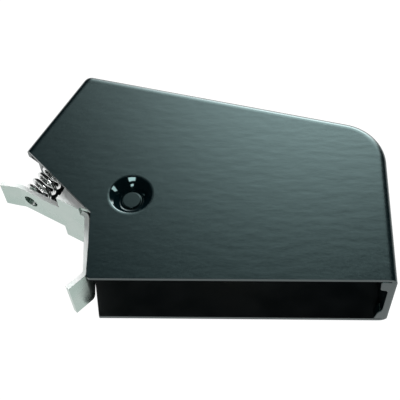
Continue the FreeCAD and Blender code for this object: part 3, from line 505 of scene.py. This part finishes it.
def right_flange():
    """The flange inside the right wall, with a lip at each end of the mouth.

    The lips run into the wall's thickness, so the joint line that the CAD has there doesn't show.
    """
    lipped = [(LIP_OUTER, FLANGE_BASE), (LIP_OUTER, 21.9), (72.3, 21.9), (72.15, 21.2), (72.35, 17.9),
              (72.75, 17.5), (73.8, 17.3), (FLANGE_INNER, 16.4), (FLANGE_INNER, 6.6), (73.95, 5.6),
              (73.5, 5.2), (73.15, 4.2), (72.85, 2.4), (72.6, FLANGE_BASE)]
    plain = [(FLANGE_OUTER, FLANGE_BASE), (FLANGE_OUTER, FLANGE_TOP), (FLANGE_INNER, FLANGE_TOP),
             (FLANGE_INNER, FLANGE_BASE)]
    bm = bmesh.new()
    closed_prism(bm, lipped, *LIP_ENDS)
    closed_prism(bm, plain, LIP_ENDS[1] + 0.02, RIGHT_HEIGHT - CORNER_RADIUS)
    mesh = soft_edges(bm_to_mesh(bm, "right_flange_fine"), 0.22, 30, 3)
    return new_piece("right_flange_piece", mesh, ENAMEL, "housing", ("right_flange",))


def lathe(name, profile, centre, width, count=64):
    """A closed turned piece: a profile of radius and height pairs, axis to axis, round an upright centre."""
    bm = bmesh.new()
    rings = [circle(bm, centre, radius, height, count) for radius, height in profile]
    for lower, upper in zip(rings, rings[1:]):
        band(bm, lower, upper)
    bm.faces.new(rings[0][::-1])
    bm.faces.new(rings[-1])
    return soft_edges(bm_to_mesh(bm, name), width, 30, 2)


def pivot_pin():
    """The staked pin, its two low flat heads lying on the floors of the dishes."""
    low, high = DISH_DEPTH - PIN_HEAD_HEIGHT, DEPTH - DISH_DEPTH + PIN_HEAD_HEIGHT
    profile = [(radius, low + up) for radius, up in PIN_HEAD_EDGE]
    profile += [(PIN_HEAD, DISH_DEPTH - 0.01), (PIN_SHANK, DISH_DEPTH), (PIN_SHANK, DEPTH - DISH_DEPTH),
                (PIN_HEAD, DEPTH - DISH_DEPTH + 0.01)]
    profile += [(radius, high - up) for radius, up in reversed(PIN_HEAD_EDGE)]
    mesh = lathe("pivot_pin_fine", profile, PIVOT, 0.03)
    return new_piece("pivot_pin_piece", mesh, GLOSS_ENAMEL, "housing", ("pivot_pin",))


def coil_tree(material):
    """Node tree for a coil spring, along Z from its first wire centre."""
    tree = bpy.data.node_groups.new("coil_spring", "GeometryNodeTree")
    tree.interface.new_socket("Geometry", in_out="INPUT", socket_type="NodeSocketGeometry")
    for name in ("Coil radius", "Wire radius", "Rise", "Turns"):
        tree.interface.new_socket(name, in_out="INPUT", socket_type="NodeSocketFloat")
    tree.interface.new_socket("Geometry", in_out="OUTPUT", socket_type="NodeSocketGeometry")
    nodes = tree.nodes
    source = nodes.new("NodeGroupInput")
    path = nodes.new("GeometryNodeCurveSpiral")
    path.inputs["Resolution"].default_value = 48
    for name, socket in (("Rotations", "Turns"), ("Start Radius", "Coil radius"), ("End Radius", "Coil radius"),
                         ("Height", "Rise")):
        tree.links.new(source.outputs[socket], path.inputs[name])
    wire = nodes.new("GeometryNodeCurvePrimitiveCircle")
    wire.inputs["Resolution"].default_value = 16
    tree.links.new(source.outputs["Wire radius"], wire.inputs["Radius"])
    sweep = nodes.new("GeometryNodeCurveToMesh")
    sweep.inputs["Fill Caps"].default_value = True
    real = nodes.new("GeometryNodeRealizeInstances")
    paint = nodes.new("GeometryNodeSetMaterial")
    paint.inputs["Material"].default_value = material
    target = nodes.new("NodeGroupOutput")
    tree.links.new(path.outputs["Curve"], sweep.inputs["Curve"])
    tree.links.new(wire.outputs["Curve"], sweep.inputs["Profile Curve"])
    tree.links.new(sweep.outputs["Mesh"], real.inputs["Geometry"])
    tree.links.new(real.outputs["Geometry"], paint.inputs["Geometry"])
    tree.links.new(paint.outputs["Geometry"], target.inputs["Geometry"])
    return tree


def grown(name, tree, sizes):
    """The mesh that a node tree grows when its named inputs have these sizes."""
    piece = in_scene("work", bpy.data.meshes.new(name))
    grow = piece.modifiers.new("grow", "NODES")
    grow.node_group = tree
    for item in tree.interface.items_tree:
        if item.in_out == "INPUT" and item.name in sizes:
            grow[item.identifier] = sizes[item.name]
    return settle(piece)


def lever_spring():
    """The coil from the lever's tongue to its seat, built at one fixed length; the mesh does not shorten as the
    lever turns.
    """
    start, seat = spot(*SPRING_START, MIDDLE), spot(*SPRING_SEAT, MIDDLE)
    direction = (seat - start).normalized()
    wire = WIRE_RADIUS * MM
    rise = (seat - start).length - 2 * wire
    mesh = grown("lever_spring_fine", coil_tree(SPRING_WIRE),
                 {"Coil radius": COIL_RADIUS * MM, "Wire radius": wire, "Rise": rise,
                  "Turns": rise / (COIL_PITCH * MM)})
    turn = Vector((0, 0, 1)).rotation_difference(direction).to_matrix().to_4x4()
    mesh.transform(Matrix.Translation(start + direction * wire) @ turn)
    mesh.shade_smooth()
    piece = new_piece("lever_spring_piece", mesh, SPRING_WIRE, "housing", ("lever_spring",))
    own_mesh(piece)


front_shell()
back_shell()
right_flange()
pivot_pin()
lever_spring()
for node, (material, width) in FINISHES.items():
    finish_node(node, material, width)


# ---- studio ----

FLOOR_HALF = 1.5
FLOOR_DROP = 0.0002
FLOOR_TONE = 0.06
ROOM_GLOW = 0.02


def stage():
    """A pale plain floor that gives off its own even light."""
    bm = bmesh.new()
    corners = [(-FLOOR_HALF, -FLOOR_HALF), (FLOOR_HALF, -FLOOR_HALF), (FLOOR_HALF, FLOOR_HALF),
               (-FLOOR_HALF, FLOOR_HALF)]
    bm.faces.new([bm.verts.new((x, y, -FLOOR_DROP)) for x, y in corners])
    mesh = bm_to_mesh(bm, "floor", clean=False)
    floor = in_scene("floor", mesh)
    material, nodes, links, shader = shader_tree("pale_floor")
    shader.inputs["Base Color"].default_value = (FLOOR_TONE, FLOOR_TONE, FLOOR_TONE, 1)
    shader.inputs["Roughness"].default_value = 0.9
    shader.inputs["Specular IOR Level"].default_value = 0.0
    shader.inputs["Emission Color"].default_value = (1, 1, 1, 1)
    shader.inputs["Emission Strength"].default_value = 1.0
    mesh.materials.append(material)


def maths(nodes, links, operation, *values):
    """One sum on numbers or sockets."""
    node = nodes.new("ShaderNodeMath")
    node.operation = operation
    for socket, value in zip(node.inputs, values):
        if isinstance(value, bpy.types.NodeSocket):
            links.new(value, socket)
        else:
            socket.default_value = value
    return node.outputs[0]


WINDOW_BLUR = 0.04


def soft_window(nodes, links, view, centre, half_width, half_height, strength):
    """A rectangular lamp far away in one direction, with soft sides."""
    forward = Vector(centre).normalized()
    side = forward.cross(Vector((0, 0, 1))).normalized()
    upright = side.cross(forward)

    def along(axis):
        node = nodes.new("ShaderNodeVectorMath")
        node.operation = "DOT_PRODUCT"
        links.new(view, node.inputs[0])
        node.inputs[1].default_value = axis
        return node.outputs["Value"]

    glow = strength
    for axis, half in ((side, half_width), (upright, half_height)):
        reach = maths(nodes, links, "ABSOLUTE", along(axis))
        glow = maths(nodes, links, "MULTIPLY", spread(nodes, links, reach, 1, 0, half, half + WINDOW_BLUR), glow)
    return maths(nodes, links, "MULTIPLY", glow, maths(nodes, links, "GREATER_THAN", along(forward), 0.5))


# One large soft glow behind the horn: a smooth hill over the sky's x and y, longer along one diagonal.
GLOW_CENTRE = (0.2963, 0.9716)
GLOW_SPREAD = (0.2091, 0.1246)
GLOW_TURN = math.radians(45)
GLOW_PEAK = 72.63
GLOW_LIMIT = 9.0

# Each window: direction, half width, half height, strength.
WINDOWS = [
    ((-0.12, -0.70, 0.70), 0.20, 0.07, 14.0),
    ((0.85, 0.08, 0.50), 0.09, 0.14, 11.0),
    ((-0.12, -0.885, 0.45), 0.12, 0.03, 14.0),
    ((0.22, 0.88, 0.40), 0.16, 0.12, 10.0),
]


def world():
    """A dark room with the large soft glow and a few small windows."""
    sky = bpy.data.worlds.new("studio")
    sky.use_nodes = True
    nodes = sky.node_tree.nodes
    links = sky.node_tree.links
    back = nodes["Background"]
    place = nodes.new("ShaderNodeTexCoord")
    view = place.outputs["Generated"]
    split = nodes.new("ShaderNodeSeparateXYZ")
    links.new(view, split.inputs["Vector"])
    x = maths(nodes, links, "SUBTRACT", split.outputs["X"], GLOW_CENTRE[0])
    y = maths(nodes, links, "SUBTRACT", split.outputs["Y"], GLOW_CENTRE[1])
    square = 0.0
    for turn, reach in zip((GLOW_TURN, GLOW_TURN + math.pi / 2), GLOW_SPREAD):
        along = maths(nodes, links, "ADD", maths(nodes, links, "MULTIPLY", x, math.cos(turn)),
                      maths(nodes, links, "MULTIPLY", y, math.sin(turn)))
        step = maths(nodes, links, "DIVIDE", along, reach)
        square = maths(nodes, links, "ADD", square, maths(nodes, links, "MULTIPLY", step, step))
    hill = maths(nodes, links, "EXPONENT", maths(nodes, links, "MULTIPLY", square, -0.5))
    glow = maths(nodes, links, "MINIMUM", maths(nodes, links, "MULTIPLY", hill, GLOW_PEAK), GLOW_LIMIT)
    for centre, half_width, half_height, strength in WINDOWS:
        glow = maths(nodes, links, "ADD", glow,
                     soft_window(nodes, links, view, centre, half_width, half_height, strength))
    back.inputs["Color"].default_value = (1, 1, 1, 1)
    links.new(maths(nodes, links, "ADD", glow, ROOM_GLOW), back.inputs["Strength"])
    bpy.context.scene.world = sky


CAMERA_PLACE = (39.50, -100.14, 221.47)
CAMERA_RIGHT = (0.99873, 0.02810, -0.04168)
CAMERA_UP = (-0.00197, 0.85045, 0.52604)
CAMERA_LENS = 82.46
CAMERA_SENSOR = 36


def camera():
    """The camera, in front of the horn and above it."""
    data = bpy.data.cameras.new("camera")
    data.sensor_width = CAMERA_SENSOR
    data.lens = CAMERA_LENS
    item = in_scene("camera", data)
    right, up = Vector(CAMERA_RIGHT), Vector(CAMERA_UP)
    turn = Matrix((right, up, right.cross(up))).transposed().to_4x4()
    item.matrix_world = Matrix.Translation(spot(*CAMERA_PLACE)) @ turn
    bpy.context.scene.camera = item


stage()
world()
camera()
bpy.context.scene.view_settings.view_transform = "Standard"
